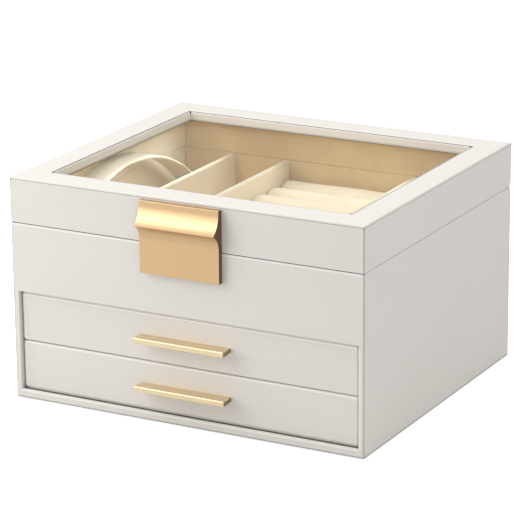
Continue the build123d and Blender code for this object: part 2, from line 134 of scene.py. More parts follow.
def makeLeatherGroup():
    group, entry, leave = newGroup(
        "leatherGrain",
        [
            ("Vector", "NodeSocketVector", None),
            ("Cells Per Metre", "NodeSocketFloat", 900.0),
            ("Tone", "NodeSocketColor", (0.8, 0.8, 0.8, 1.0)),
            ("Shade", "NodeSocketColor", (0.7, 0.7, 0.7, 1.0)),
            ("Roughness", "NodeSocketFloat", 0.5),
        ],
        [("Colour", "NodeSocketColor"), ("Height", "NodeSocketFloat"), ("Roughness", "NodeSocketFloat")],
    )
    warp = addNode(group, "ShaderNodeTexNoise", -700, 300, Scale=leatherLook["warpScale"], Detail=2.0)
    link(group, entry.outputs["Vector"], warp.inputs["Vector"])
    bent = addNode(group, "ShaderNodeMixRGB", -500, 300, blend_type="LINEAR_LIGHT", Fac=leatherLook["warp"])
    link(group, entry.outputs["Vector"], bent.inputs["Color1"])
    link(group, warp.outputs["Color"], bent.inputs["Color2"])
    cells = addNode(group, "ShaderNodeTexVoronoi", -300, 300, feature="SMOOTH_F1")
    cells.inputs["Smoothness"].default_value = leatherLook["smoothness"]
    link(group, bent.outputs["Color"], cells.inputs["Vector"])
    link(group, entry.outputs["Cells Per Metre"], cells.inputs["Scale"])
    pores = addNode(group, "ShaderNodeTexNoise", -300, 0, Scale=leatherLook["poreScale"], Detail=3.0)
    link(group, entry.outputs["Vector"], pores.inputs["Vector"])
    dome = mathNode(group, "SUBTRACT", -50, 300, 1.0, cells.outputs["Distance"])
    fine = mathNode(group, "MULTIPLY", -50, 60, pores.outputs["Fac"], leatherLook["poreHeight"])
    height = mathNode(group, "ADD", 150, 200, dome, fine)
    slow = addNode(group, "ShaderNodeTexNoise", -300, -300, Scale=leatherLook["slowScale"], Detail=3.0)
    link(group, entry.outputs["Vector"], slow.inputs["Vector"])
    crevice = mathNode(group, "MULTIPLY", 150, -60, cells.outputs["Distance"], leatherLook["creviceTone"])
    slowTone, roughSwing = leatherLook["slowTone"], leatherLook["roughSwing"]
    share = mathNode(group, "MULTIPLY_ADD", 330, -160, slow.outputs["Fac"], slowTone, crevice)
    colour = mixColour(group, 560, 60, share, entry.outputs["Tone"], entry.outputs["Shade"])
    rough = entry.outputs["Roughness"]
    swing = mathNode(group, "MULTIPLY_ADD", 560, -300, slow.outputs["Fac"], roughSwing, rough)
    link(group, colour, leave.inputs["Colour"])
    link(group, height, leave.inputs["Height"])
    link(group, swing, leave.inputs["Roughness"])
    return group


# Velvet pile: fine upright fibres, with patches where the pile leans and looks darker

velvetLook = {
    "fibreScale": 2600.0, "leanLow": 0.36, "leanHigh": 0.68, "leanTone": 0.42, "fibreTone": 0.34,
    "roughness": 0.92, "shine": 0.15, "sheenRoughness": 0.42, "bump": 0.45, "bumpDepth": 0.0004,
}


def makeVelvetGroup():
    group, entry, leave = newGroup(
        "velvetPile",
        [
            ("Vector", "NodeSocketVector", None),
            ("Light", "NodeSocketColor", (0.9, 0.8, 0.6, 1.0)),
            ("Dark", "NodeSocketColor", (0.7, 0.6, 0.4, 1.0)),
            ("Patch Size", "NodeSocketFloat", 40.0),
        ],
        [("Colour", "NodeSocketColor"), ("Height", "NodeSocketFloat")],
    )
    patches = addNode(group, "ShaderNodeTexNoise", -600, 200, Detail=4.0, Roughness=0.62)
    link(group, entry.outputs["Vector"], patches.inputs["Vector"])
    link(group, entry.outputs["Patch Size"], patches.inputs["Scale"])
    fibres = addNode(group, "ShaderNodeTexNoise", -600, -150, Scale=velvetLook["fibreScale"], Detail=2.0)
    link(group, entry.outputs["Vector"], fibres.inputs["Vector"])
    lean = addNode(group, "ShaderNodeMapRange", -350, 200)
    lean.inputs["From Min"].default_value = velvetLook["leanLow"]
    lean.inputs["From Max"].default_value = velvetLook["leanHigh"]
    link(group, patches.outputs["Fac"], lean.inputs["Value"])
    speck = mathNode(group, "MULTIPLY", -350, -150, fibres.outputs["Fac"], velvetLook["fibreTone"])
    leanTone = velvetLook["leanTone"]
    share = mathNode(group, "MULTIPLY_ADD", -100, 60, lean.outputs["Result"], leanTone, speck)
    colour = mixColour(group, 250, 100, share, entry.outputs["Light"], entry.outputs["Dark"])
    link(group, colour, leave.inputs["Colour"])
    link(group, fibres.outputs["Fac"], leave.inputs["Height"])
    return group


# Satin metal: long faint brush lines along X, small cloudy changes of gloss, and painted shade that darkens
# the faces turned along X

metalLook = {
    "endShadeLow": 0.75, "endShadeHigh": 0.97, "brush": (30.0, 5200.0, 5200.0), "cloudScale": 120.0,
    "coat": 0.6, "coatRoughness": 0.3, "coatBend": 1.6, "bumpDepth": 0.00004,
}


def makeMetalGroup():
    group, entry, leave = newGroup(
        "satinMetal",
        [
            ("Vector", "NodeSocketVector", None),
            ("Facing", "NodeSocketVector", None),
            ("Colour", "NodeSocketColor", (0.8, 0.6, 0.3, 1.0)),
            ("End Shade Colour", "NodeSocketColor", (0.8, 0.6, 0.3, 1.0)),
            ("Roughness", "NodeSocketFloat", 0.3),
            ("Swing", "NodeSocketFloat", 0.1),
        ],
        [("Colour", "NodeSocketColor"), ("Roughness", "NodeSocketFloat"), ("Height", "NodeSocketFloat")],
    )
    facing = addNode(group, "ShaderNodeSeparateXYZ", -650, 500)
    link(group, entry.outputs["Facing"], facing.inputs["Vector"])
    # Painted shade: faces turned along X take the darker end colour
    endShare = addNode(group, "ShaderNodeMapRange", -250, 500)
    endShare.inputs["From Min"].default_value = metalLook["endShadeLow"]
    endShare.inputs["From Max"].default_value = metalLook["endShadeHigh"]
    link(group, mathNode(group, "ABSOLUTE", -450, 500, facing.outputs["X"]), endShare.inputs["Value"])
    face, paintedEndShade = entry.outputs["Colour"], entry.outputs["End Shade Colour"]
    colour = mixColour(group, 50, 400, endShare.outputs["Result"], face, paintedEndShade)
    link(group, colour, leave.inputs["Colour"])
    stretch = addNode(group, "ShaderNodeMapping", -650, 150, Scale=metalLook["brush"])
    link(group, entry.outputs["Vector"], stretch.inputs["Vector"])
    lines = addNode(group, "ShaderNodeTexNoise", -420, 150, Scale=1.0, Detail=3.0)
    link(group, stretch.outputs["Vector"], lines.inputs["Vector"])
    cloud = addNode(group, "ShaderNodeTexNoise", -420, -150, Scale=metalLook["cloudScale"], Detail=3.0)
    link(group, entry.outputs["Vector"], cloud.inputs["Vector"])
    both = mathNode(group, "ADD", -150, 0, lines.outputs["Fac"], cloud.outputs["Fac"])
    centred = mathNode(group, "SUBTRACT", 50, 0, both, 1.0)
    scaled = mathNode(group, "MULTIPLY", 250, 0, centred, entry.outputs["Swing"])
    total = mathNode(group, "ADD", 450, 0, scaled, entry.outputs["Roughness"])
    link(group, total, leave.inputs["Roughness"])
    link(group, lines.outputs["Fac"], leave.inputs["Height"])
    return group


leatherGroup = makeLeatherGroup()
velvetGroup = makeVelvetGroup()
metalGroup = makeMetalGroup()


def newMaterial(name):
    material = bpy.data.materials.new(name)
    material.use_nodes = True
    tree = material.node_tree
    shader = tree.nodes["Principled BSDF"]
    coords = addNode(tree, "ShaderNodeTexCoord", -1100, 0)
    return material, tree, shader, coords.outputs["Object"]


def addBump(tree, shader, height, strength, distance):
    bump = addNode(tree, "ShaderNodeBump", -250, -250, Strength=strength, Distance=distance)
    link(tree, height, bump.inputs["Height"])
    link(tree, bump.outputs["Normal"], shader.inputs["Normal"])


def placeGroup(tree, group, vector, values):
    node = tree.nodes.new("ShaderNodeGroup")
    node.node_tree = group
    node.location = (-650, 0)
    link(tree, vector, node.inputs["Vector"])
    for name, value in values.items():
        node.inputs[name].default_value = value
    return node


def makeLeather(name, tone, shade, roughness, bump):
    material, tree, shader, coords = newMaterial(name)
    cells = leatherLook["cellsPerMetre"]
    values = {"Cells Per Metre": cells, "Tone": tone, "Shade": shade, "Roughness": roughness}
    grain = placeGroup(tree, leatherGroup, coords, values)
    link(tree, grain.outputs["Colour"], shader.inputs["Base Color"])
    link(tree, grain.outputs["Roughness"], shader.inputs["Roughness"])
    shader.inputs["Specular IOR Level"].default_value = leatherLook["shine"]
    addBump(tree, shader, grain.outputs["Height"], bump, leatherLook["bumpDepth"])
    return material


def makeVelvet(name, light, dark, sheen, patch):
    material, tree, shader, coords = newMaterial(name)
    pile = placeGroup(tree, velvetGroup, coords, {"Light": light, "Dark": dark, "Patch Size": patch})
    link(tree, pile.outputs["Colour"], shader.inputs["Base Color"])
    shader.inputs["Roughness"].default_value = velvetLook["roughness"]
    shader.inputs["Specular IOR Level"].default_value = velvetLook["shine"]
    shader.inputs["Sheen Weight"].default_value = sheen
    shader.inputs["Sheen Roughness"].default_value = velvetLook["sheenRoughness"]
    shader.inputs["Sheen Tint"].default_value = light
    addBump(tree, shader, pile.outputs["Height"], velvetLook["bump"], velvetLook["bumpDepth"])
    return material


def makeMetal(name, colour, endShadeColour, roughness, swing, bump):
    material, tree, shader, coords = newMaterial(name)
    values = {"Colour": colour, "End Shade Colour": endShadeColour, "Roughness": roughness, "Swing": swing}
    satin = placeGroup(tree, metalGroup, coords, values)
    link(tree, coords.node.outputs["Normal"], satin.inputs["Facing"])
    link(tree, satin.outputs["Colour"], shader.inputs["Base Color"])
    shader.inputs["Metallic"].default_value = 1.0
    link(tree, satin.outputs["Roughness"], shader.inputs["Roughness"])
    shader.inputs["Coat Weight"].default_value = metalLook["coat"]
    shader.inputs["Coat Roughness"].default_value = metalLook["coatRoughness"]
    shader.inputs["Coat IOR"].default_value = metalLook["coatBend"]
    addBump(tree, shader, satin.outputs["Height"], bump, metalLook["bumpDepth"])
    return material


glassLook = {
    "colour": (236, 246, 242), "alpha": 0.08, "bend": 1.5,
    "smearScale": 22.0, "cleanRoughness": 0.015, "smearRoughness": 0.05,
}


def makeGlass(name):
    material, tree, shader, coords = newMaterial(name)
    smear = addNode(tree, "ShaderNodeTexNoise", -500, -100, Scale=glassLook["smearScale"], Detail=2.0)
    link(tree, coords, smear.inputs["Vector"])
    gloss = addNode(tree, "ShaderNodeMapRange", -250, -100)
    gloss.inputs["To Min"].default_value = glassLook["cleanRoughness"]
    gloss.inputs["To Max"].default_value = glassLook["smearRoughness"]
    link(tree, smear.outputs["Fac"], gloss.inputs["Value"])
    link(tree, gloss.outputs["Result"], shader.inputs["Roughness"])
    shader.inputs["Base Color"].default_value = linear(*glassLook["colour"])
    shader.inputs["IOR"].default_value = glassLook["bend"]
    shader.inputs["Alpha"].default_value = glassLook["alpha"]
    return material


boardLook = {"patch": 300.0, "roughness": 0.8, "shine": 0.2, "bump": 0.3, "bumpDepth": 0.0002}


def makeBoardMaterial(name, light, dark):
    material, tree, shader, coords = newMaterial(name)
    values = {"Light": light, "Dark": dark, "Patch Size": boardLook["patch"]}
    fleck = placeGroup(tree, velvetGroup, coords, values)
    link(tree, fleck.outputs["Colour"], shader.inputs["Base Color"])
    shader.inputs["Roughness"].default_value = boardLook["roughness"]
    shader.inputs["Specular IOR Level"].default_value = boardLook["shine"]
    addBump(tree, shader, fleck.outputs["Height"], boardLook["bump"], boardLook["bumpDepth"])
    return material


materials = {
    "white_leather": makeLeather(
        "whiteLeather", linear(241, 237, 231), linear(235, 230, 223), roughness=0.48, bump=0.22
    ),
    "cream_velvet": makeVelvet(
        "creamVelvet", linear(255, 246, 224), linear(249, 229, 192), sheen=0.3, patch=55.0
    ),
    # Painted shade: a darker tan copy of the cream velvet for the front, back and floor linings
    "wall_velvet": makeVelvet(
        "shadedTanVelvet", linear(234, 206, 151), linear(219, 185, 124), sheen=0.12, patch=40.0
    ),
    "felt": makeBoardMaterial("baseFelt", linear(176, 168, 156), linear(140, 132, 120)),
    "fibreboard": makeBoardMaterial("fibreboard", linear(214, 192, 158), linear(184, 158, 122)),
    "clear_glass": makeGlass("clearGlass"),
    # The second colour of each metal is painted shade for its ends
    "satin_gold": makeMetal(
        "satinGold", linear(205, 172, 127), linear(116, 86, 44), roughness=0.38, swing=0.06, bump=0.05
    ),
    # Painted reflection: the pulls' gold is paler than the clasp's, standing in for the bright light they
    # reflect
    "pull_gold": makeMetal(
        "pullGoldPaintedReflection", linear(226, 205, 166), linear(146, 126, 82), roughness=0.38, swing=0.06, bump=0.05
    ),
    "hinge_brass": makeMetal(
        "hingeBrass", linear(214, 182, 118), linear(214, 182, 118), roughness=0.32, swing=0.12, bump=0.2
    ),
    "steel": makeMetal(
        "plainSteel", linear(196, 196, 198), linear(196, 196, 198), roughness=0.34, swing=0.12, bump=0.2
    ),
    # Painted shade: the seam, corner, band, gap and crease colours shade the strips made below; the seam
    # colour also paints the window seal
    "seam": makeBoardMaterial("seamShade", linear(150, 145, 138), linear(136, 131, 124)),
    # Painted highlight: a paler copy of the white leather for strips along lit edges
    "edge": makeLeather(
        "highlightLeather", linear(255, 253, 249), linear(252, 249, 244), roughness=0.45, bump=0.1
    ),
    "corner": makeBoardMaterial("cornerShade", linear(196, 191, 185), linear(186, 181, 175)),
    "band": makeBoardMaterial("bandShade", linear(218, 213, 207), linear(210, 205, 199)),
    "gap": makeBoardMaterial("gapShade", linear(112, 107, 101), linear(98, 93, 87)),
    "crease": makeBoardMaterial("creaseShade", linear(84, 80, 74), linear(62, 58, 53)),
}
slotOf = {entry["node"]: entry["material_slot"] for entry in frame["record"]["subparts"]}


def paint(target, material):
    target.data.materials.clear()
    target.data.materials.append(material)


for name, node in nodes.items():
    paint(node, materials[slotOf[name]])
print("stage: materials on the CAD nodes")


def makeObject(name, mesh):
    target = bpy.data.objects.new(name, mesh)
    scene.collection.objects.link(target)
    return target


def smoothShade(mesh):
    mesh.polygons.foreach_set("use_smooth", [True] * len(mesh.polygons))


# The mesh of an object with its modifiers worked in, which are then taken off


def bakeModifiers(target):
    graph = bpy.context.evaluated_depsgraph_get()
    mesh = bpy.data.meshes.new_from_object(target.evaluated_get(graph), depsgraph=graph)
    target.modifiers.clear()
    target.data = mesh
    return mesh


flatFaceWeight = 60


def evenNormals(target):
    smoothShade(target.data)
    weighted = target.modifiers.new("evenNormals", "WEIGHTED_NORMAL")
    weighted.weight = flatFaceWeight
    bakeModifiers(target)


def standFor(target, node, material=None):
    paint(target, materials[material or slotOf[node]])
    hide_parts(node)
    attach(target, bodyOf[node])


# Velvet-covered boards get soft edges

softBoards = {
    "edge": 0.0007,
    "edgeShare": 0.45,
    "segments": 3,
    "nodes": [
        "left_lining", "right_lining", "front_lining", "back_lining", "floor_lining",
        "lid_left_lining", "lid_right_lining", "lid_front_lining", "lid_back_lining",
        "upper_drawer_left_side", "upper_drawer_right_side", "upper_drawer_back", "upper_drawer_lining",
        "lower_drawer_left_side", "lower_drawer_right_side", "lower_drawer_back", "lower_drawer_lining",
        "upper_drawer_long_divider", "lower_drawer_divider",
    ],
    "rimReach": 0.0004,
    "rimUp": ["left_lining", "right_lining", "front_lining", "back_lining"],
    "rimDown": ["lid_left_lining", "lid_right_lining", "lid_front_lining", "lid_back_lining"],
    # Linings that take the tan velvet as painted shade
    "tan": ["front_lining", "back_lining", "lid_front_lining", "lid_back_lining", "floor_lining"],
}


def addBox(work, low, high):
    size = Vector(high) - Vector(low)
    middle = (Vector(high) + Vector(low)) / 2
    place = Matrix.Translation(middle) @ Matrix.Diagonal((*size, 1.0))
    return bmesh.ops.create_cube(work, size=1.0, matrix=place)["verts"]


def makeSoftBoard(name, low, high, values):
    mesh = bpy.data.meshes.new(name)
    work = bmesh.new()
    addBox(work, low, high)
    reach = min(values["edge"], values["edgeShare"] * min(Vector(high) - Vector(low)))
    edges, segments = work.edges[:], values["segments"]
    bmesh.ops.bevel(work, geom=edges, offset=reach, segments=segments, profile=0.5, affect="EDGES")
    bmesh.ops.recalc_face_normals(work, faces=work.faces)
    work.to_mesh(mesh)
    work.free()
    return mesh


for node in softBoards["nodes"]:
    low, high = [list(corner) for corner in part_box(node)]
    if node in softBoards["rimUp"]:
        high[2] += softBoards["rimReach"]
    if node in softBoards["rimDown"]:
        low[2] -= softBoards["rimReach"]
    board = makeObject(node + "Velvet", makeSoftBoard(node, low, high, softBoards))
    evenNormals(board)
    standFor(board, node, material="wall_velvet" if node in softBoards["tan"] else None)
print("stage: velvet boards")

# Foam pads: a slightly smaller shape is remeshed, blown up as cloth and kept inside its space


def puffPad(name, mesh, values, low, high):
    pad = makeObject(name, mesh)
    remesh = pad.modifiers.new("evenMesh", "REMESH")
    remesh.mode = "VOXEL"
    remesh.voxel_size = values["voxel"]
    mesh = bakeModifiers(pad)
    count = len(mesh.vertices)
    start = np.empty(count * 3)
    mesh.vertices.foreach_get("co", start)
    start = start.reshape(-1, 3)
    moved = start
    held = pad.vertex_groups.new(name="held")
    held.add([int(i) for i in np.nonzero(start[:, 2] < low[2] + values["grip"])[0]], 1.0, "REPLACE")
    cloth = pad.modifiers.new("foam", "CLOTH")
    cloth.settings.use_pressure = True
    cloth.settings.uniform_pressure_force = values["pressure"]
    cloth.settings.tension_stiffness = values["stiffness"]
    cloth.settings.compression_stiffness = values["stiffness"]
    cloth.settings.effector_weights.gravity = 0.0
    cloth.settings.vertex_group_mass = "held"
    cloth.collision_settings.use_collision = False
    for step in range(1, values["frames"] + 1):
        scene.frame_set(step)
    swollen = bakeModifiers(pad)
    scene.frame_set(1)
    moved = np.empty(count * 3)
    swollen.vertices.foreach_get("co", moved)
    moved = moved.reshape(-1, 3)
    step = moved - start
    reach = np.linalg.norm(step, axis=1, keepdims=True)
    step *= np.minimum(1.0, values["cap"] / np.maximum(reach, 1e-9))
    final = np.clip(start + step, np.array(low), np.array(high))
    pad.data.vertices.foreach_set("co", final.ravel())
    pad.vertex_groups.clear()
    smoother = pad.modifiers.new("finer", "SUBSURF")
    smoother.levels = smoother.render_levels = 1
    bakeModifiers(pad)
    smoothShade(pad.data)
    return pad


# One ring roll is puffed, and ten copies with small differences stand in a row

ringRoll = {
    "count": 10, "shrink": 0.0011, "gap": 0.0002, "footRound": 0.002, "arcSteps": 10,
    "endRound": 0.0045, "endShare": 0.78, "roundShare": 0.93,
    "voxel": 0.0026, "pressure": 4.0, "stiffness": 12.0, "grip": 0.003, "frames": 20, "cap": 0.0016,
    "seed": 7, "sink": 0.0006, "swell": 0.00025, "swellsPerMetre": 90, "turn": 6.28,
}


def makeRollMesh(values, low, high, pitch):
    half = pitch / 2 - values["gap"] - values["shrink"]
    crown = high[2] - values["shrink"]
    shoulder = crown - half
    foot, heel = half - values["footRound"], low[2] + values["footRound"]
    outline = [(-foot, low[2]), (foot, low[2]), (half, heel)]
    for step in range(values["arcSteps"] + 1):
        angle = math.pi * step / values["arcSteps"]
        outline.append((half * math.cos(angle), shoulder + half * math.sin(angle)))
    outline.append((-half, heel))
    start, end = low[0] + values["shrink"], high[0] - values["shrink"]
    bend = values["endRound"]
    stations = [(start, values["endShare"]), (start + bend / 3, values["roundShare"]), (start + bend, 1.0)]
    stations += [(start + end - x, share) for x, share in reversed(stations)]
    points, faces = [], []
    middle = low[2] + (crown - low[2]) / 2
    size = len(outline)
    for x, share in stations:
        points += [(x, y * share, max(low[2], middle + (z - middle) * share)) for y, z in outline]
    for ring in range(len(stations) - 1):
        here, there = ring * size, (ring + 1) * size
        for index in range(size):
            after = (index + 1) % size
            faces.append((here + index, here + after, there + after, there + index))
    faces += [tuple(reversed(range(size))), tuple((len(stations) - 1) * size + i for i in range(size))]
    mesh = bpy.data.meshes.new("ringRollStart")
    mesh.from_pydata(points, [], faces)
    work = bmesh.new()
    work.from_mesh(mesh)
    bmesh.ops.recalc_face_normals(work, faces=work.faces)
    work.to_mesh(mesh)
    work.free()
    return mesh


low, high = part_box("ring_rolls")
pitch = (high[1] - low[1] + 2 * ringRoll["gap"]) / ringRoll["count"]
rollLow = (low[0], -pitch / 2 + ringRoll["gap"], low[2])
rollHigh = (high[0], pitch / 2 - ringRoll["gap"], high[2])
roll = puffPad("ringRoll", makeRollMesh(ringRoll, low, high, pitch), ringRoll, rollLow, rollHigh)
single = np.empty(len(roll.data.vertices) * 3)
roll.data.vertices.foreach_get("co", single)
single = single.reshape(-1, 3)
singleFaces = [tuple(face.vertices) for face in roll.data.polygons]
random.seed(ringRoll["seed"])
allPoints, allFaces = [], []
for index in range(ringRoll["count"]):
    middle = low[1] - ringRoll["gap"] + (index + 0.5) * pitch
    sink = random.uniform(0.0, ringRoll["sink"])
    wave = random.uniform(0.0, ringRoll["turn"])
    points = single.copy()
    share = (points[:, 2] - low[2]) / (high[2] - low[2])
    swell = 1 + np.sin(points[:, 0] * ringRoll["swellsPerMetre"] + wave)
    points[:, 2] -= share * (sink + ringRoll["swell"] * swell)
    points[:, 1] += middle
    offset = len(allPoints) * len(single)
    allPoints.append(points)
    allFaces += [tuple(i + offset for i in face) for face in singleFaces]
rollMesh = bpy.data.meshes.new("ringRollPads")
rollMesh.from_pydata(np.concatenate(allPoints).tolist(), [], allFaces)
smoothShade(rollMesh)
bpy.data.objects.remove(roll)
rolls = makeObject("ringRollPads", rollMesh)
standFor(rolls, "ring_rolls")
print("stage: ring rolls,", len(rollMesh.polygons), "faces")

# The bracelet bridge is a thin pad bent into an arch, puffed from a slightly thinner strip

bridge = {
    "thin": 0.0004, "voxel": 0.0014, "pressure": 4.0, "stiffness": 14.0, "grip": 0.004, "frames": 20,
    "cap": 0.0009, "merge": 1e-6,
}
low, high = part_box("bracelet_bridge")
source = bmesh.new()
source.from_mesh(nodes["bracelet_bridge"].data)
bmesh.ops.remove_doubles(source, verts=source.verts, dist=bridge["merge"])
bmesh.ops.recalc_face_normals(source, faces=source.faces)
for vertex in source.verts:
    if vertex.co.z > low[2] + bridge["grip"]:
        vertex.co -= vertex.normal * bridge["thin"]
strip = bpy.data.meshes.new("bridgeStart")
source.to_mesh(strip)
source.free()
arch = puffPad("braceletBridgePad", strip, bridge, low, high)
standFor(arch, "bracelet_bridge")
print("stage: bracelet bridge,", len(arch.data.polygons), "faces")

# Metal pieces with their sharp edges broken, from a merged copy of the CAD mesh

brokenEdges = {
    "clasp_plate": 0.00035, "upper_drawer_pull": 0.0004, "lower_drawer_pull": 0.0004,
    "left_hinge_case_leaf": 0.00012, "right_hinge_case_leaf": 0.00012,
    "left_hinge_lid_leaf": 0.00012, "right_hinge_lid_leaf": 0.00012,
}
breaking = {"segments": 3, "sharpDegrees": 35, "flatDegrees": 0.5, "merge": 1e-6}
for node, width in brokenEdges.items():
    work = bmesh.new()
    work.from_mesh(nodes[node].data)
    bmesh.ops.remove_doubles(work, verts=work.verts, dist=breaking["merge"])
    flat = math.radians(breaking["flatDegrees"])
    bmesh.ops.dissolve_limit(work, angle_limit=flat, verts=work.verts, edges=work.edges)
    mesh = bpy.data.meshes.new(node + "Metal")
    work.to_mesh(mesh)
    work.free()
    metal = makeObject(node + "Metal", mesh)
    broken = metal.modifiers.new("brokenEdges", "BEVEL")
    broken.width = width
    broken.segments = breaking["segments"]
    broken.limit_method = "ANGLE"
    broken.angle_limit = math.radians(breaking["sharpDegrees"])
    broken.use_clamp_overlap = True
    bakeModifiers(metal)
    evenNormals(metal)
    standFor(metal, node, material="pull_gold" if node.endswith("pull") else None)
print("stage: metal edges")

# Screws: one geometry node tree puts a cross-slotted screw on each point

screwFields = {
    "case_hinge_screws": {"headRadius": 0.0013, "head": 0.0005, "shank": 0.0007, "spacing": 0.020},
    "lid_hinge_screws": {"headRadius": 0.0013, "head": 0.0005, "shank": 0.0007, "spacing": 0.020},
    "upper_drawer_pull_screws": {"headRadius": 0.0024, "head": 0.0013, "shank": 0.0011, "spacing": 0.0},
    "lower_drawer_pull_screws": {"headRadius": 0.0024, "head": 0.0013, "shank": 0.0011, "spacing": 0.0},
}

# Each size of the cross slot is a share of the head's radius or height

screwShape = {
    "headSides": 28, "shankSides": 16, "slotLength": 1.25, "slotWidth": 0.3, "slotDepth": 0.55, "turnSeed": 0,
}


def makeScrewTree():
    tree = bpy.data.node_groups.new("screwField", "GeometryNodeTree")
    tree.interface.new_socket("Geometry", in_out="INPUT", socket_type="NodeSocketGeometry")
    for label in ("Head Radius", "Head Height", "Shank Radius", "Shank Length", "Slot Width", "Slot Depth"):
        tree.interface.new_socket(label, in_out="INPUT", socket_type="NodeSocketFloat")
    tree.interface.new_socket("Material", in_out="INPUT", socket_type="NodeSocketMaterial")
    tree.interface.new_socket("Geometry", in_out="OUTPUT", socket_type="NodeSocketGeometry")
    entry = addNode(tree, "NodeGroupInput", -1400, 0).outputs
    head = addNode(tree, "GeometryNodeMeshCylinder", -1000, 300, Vertices=screwShape["headSides"])
    link(tree, entry["Head Radius"], head.inputs["Radius"])
    link(tree, entry["Head Height"], head.inputs["Depth"])
    shank = addNode(tree, "GeometryNodeMeshCylinder", -1000, 0, Vertices=screwShape["shankSides"])
    link(tree, entry["Shank Radius"], shank.inputs["Radius"])
    link(tree, entry["Shank Length"], shank.inputs["Depth"])

    def shifted(mesh, amount, x, y):
        place = addNode(tree, "ShaderNodeCombineXYZ", x - 180, y - 140)
        link(tree, amount, place.inputs["Z"])
        move = addNode(tree, "GeometryNodeTransform", x, y)
        link(tree, mesh, move.inputs["Geometry"])
        link(tree, place.outputs["Vector"], move.inputs["Translation"])
        return move.outputs["Geometry"]

    headMiddle = mathNode(tree, "MULTIPLY", -1000, 500, entry["Head Height"], -0.5)
    halfShank = mathNode(tree, "MULTIPLY", -1000, -200, entry["Shank Length"], -0.5)
    shankMiddle = mathNode(tree, "SUBTRACT", -800, -200, halfShank, entry["Head Height"])
    slotLength = mathNode(tree, "MULTIPLY", -1000, -400, entry["Head Radius"], screwShape["slotLength"])
    slotSize = addNode(tree, "ShaderNodeCombineXYZ", -800, -400)
    link(tree, slotLength, slotSize.inputs["X"])
    link(tree, entry["Slot Width"], slotSize.inputs["Y"])
    link(tree, mathNode(tree, "MULTIPLY", -1000, -560, entry["Slot Depth"], 2.0), slotSize.inputs["Z"])
    slotBlock = addNode(tree, "GeometryNodeMeshCube", -600, -400)
    link(tree, slotSize.outputs["Vector"], slotBlock.inputs["Size"])
    cross = addNode(tree, "GeometryNodeTransform", -400, -500)
    link(tree, slotBlock.outputs["Mesh"], cross.inputs["Geometry"])
    cross.inputs["Rotation"].default_value = (0.0, 0.0, math.pi / 2)
    cut = addNode(tree, "GeometryNodeMeshBoolean", -200, 200, operation="DIFFERENCE")
    link(tree, shifted(head.outputs["Mesh"], headMiddle, -500, 300), cut.inputs["Mesh 1"])
    link(tree, slotBlock.outputs["Mesh"], cut.inputs["Mesh 2"])
    link(tree, cross.outputs["Geometry"], cut.inputs["Mesh 2"])
    whole = addNode(tree, "GeometryNodeJoinGeometry", 0, 100)
    link(tree, cut.outputs["Mesh"], whole.inputs["Geometry"])
    link(tree, shifted(shank.outputs["Mesh"], shankMiddle, -500, 0), whole.inputs["Geometry"])
    upright = addNode(tree, "GeometryNodeTransform", 150, 100)
    link(tree, whole.outputs["Geometry"], upright.inputs["Geometry"])
    upright.inputs["Rotation"].default_value = (-math.pi / 2, 0.0, 0.0)
    turns = addNode(tree, "FunctionNodeRandomValue", 150, -150, data_type="FLOAT_VECTOR")
    turns.inputs["Min"].default_value = (0.0, 0.0, 0.0)
    turns.inputs["Max"].default_value = (0.0, math.pi, 0.0)
    turns.inputs["Seed"].default_value = screwShape["turnSeed"]
    spread = addNode(tree, "GeometryNodeInstanceOnPoints", 350, 100)
    link(tree, entry["Geometry"], spread.inputs["Points"])
    link(tree, upright.outputs["Geometry"], spread.inputs["Instance"])
    link(tree, turns.outputs["Value"], spread.inputs["Rotation"])
    real = addNode(tree, "GeometryNodeRealizeInstances", 550, 100)
    link(tree, spread.outputs["Instances"], real.inputs["Geometry"])
    finish = addNode(tree, "GeometryNodeSetMaterial", 750, 100)
    link(tree, real.outputs["Geometry"], finish.inputs["Geometry"])
    link(tree, entry["Material"], finish.inputs["Material"])
    leave = addNode(tree, "NodeGroupOutput", 950, 100)
    link(tree, finish.outputs["Geometry"], leave.inputs["Geometry"])
    return tree


screwTree = makeScrewTree()
screwInputs = {
    item.name: item.identifier
    for item in screwTree.interface.items_tree
    if item.item_type == "SOCKET" and item.in_out == "INPUT"
}
for node, values in screwFields.items():
    low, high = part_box(node)
    outer = high[0] - values["headRadius"]
    across = [outer, outer - values["spacing"]] if values["spacing"] else [outer]
    level = (low[2] + high[2]) / 2
    points = [(side * x, high[1], level) for x in across for side in (-1, 1)]
    mesh = bpy.data.meshes.new(node + "Points")
    mesh.from_pydata(points, [], [])
    screws = makeObject(node + "Slotted", mesh)
    field = screws.modifiers.new("screws", "NODES")
    field.node_group = screwTree
    settings = {
        "Head Radius": values["headRadius"],
        "Head Height": values["head"],
        "Shank Radius": values["shank"],
        "Shank Length": high[1] - low[1] - values["head"],
        "Slot Width": screwShape["slotWidth"] * values["headRadius"],
        "Slot Depth": screwShape["slotDepth"] * values["head"],
        "Material": materials[slotOf[node]],
    }
    for label, value in settings.items():
        field[screwInputs[label]] = value
    bakeModifiers(screws)
    standFor(screws, node)
print("stage: screws")

# Lines of painted shade at the corners, under the top frame and round the window, with a seal ring at the
# glass

seams = {
    "corner": 0.00042, "cornerInset": 0.00028, "cornerEnd": 0.0003, "hingeClear": 0.0024,
    "crease": 0.0009, "creaseInset": 0.00006, "creaseDepth": 0.0003,
    "beadWidth": 0.0016, "beadLine": 0.00035, "beadSunk": 0.0003, "beadProud": 0.00045,
    "seal": 0.0006, "sealDepth": 0.0003, "sealProud": 0.0001, "band": 0.0018, "bandDepth": 0.0002,
    "mitre": 0.0011, "mitreProud": 0.0004,
}


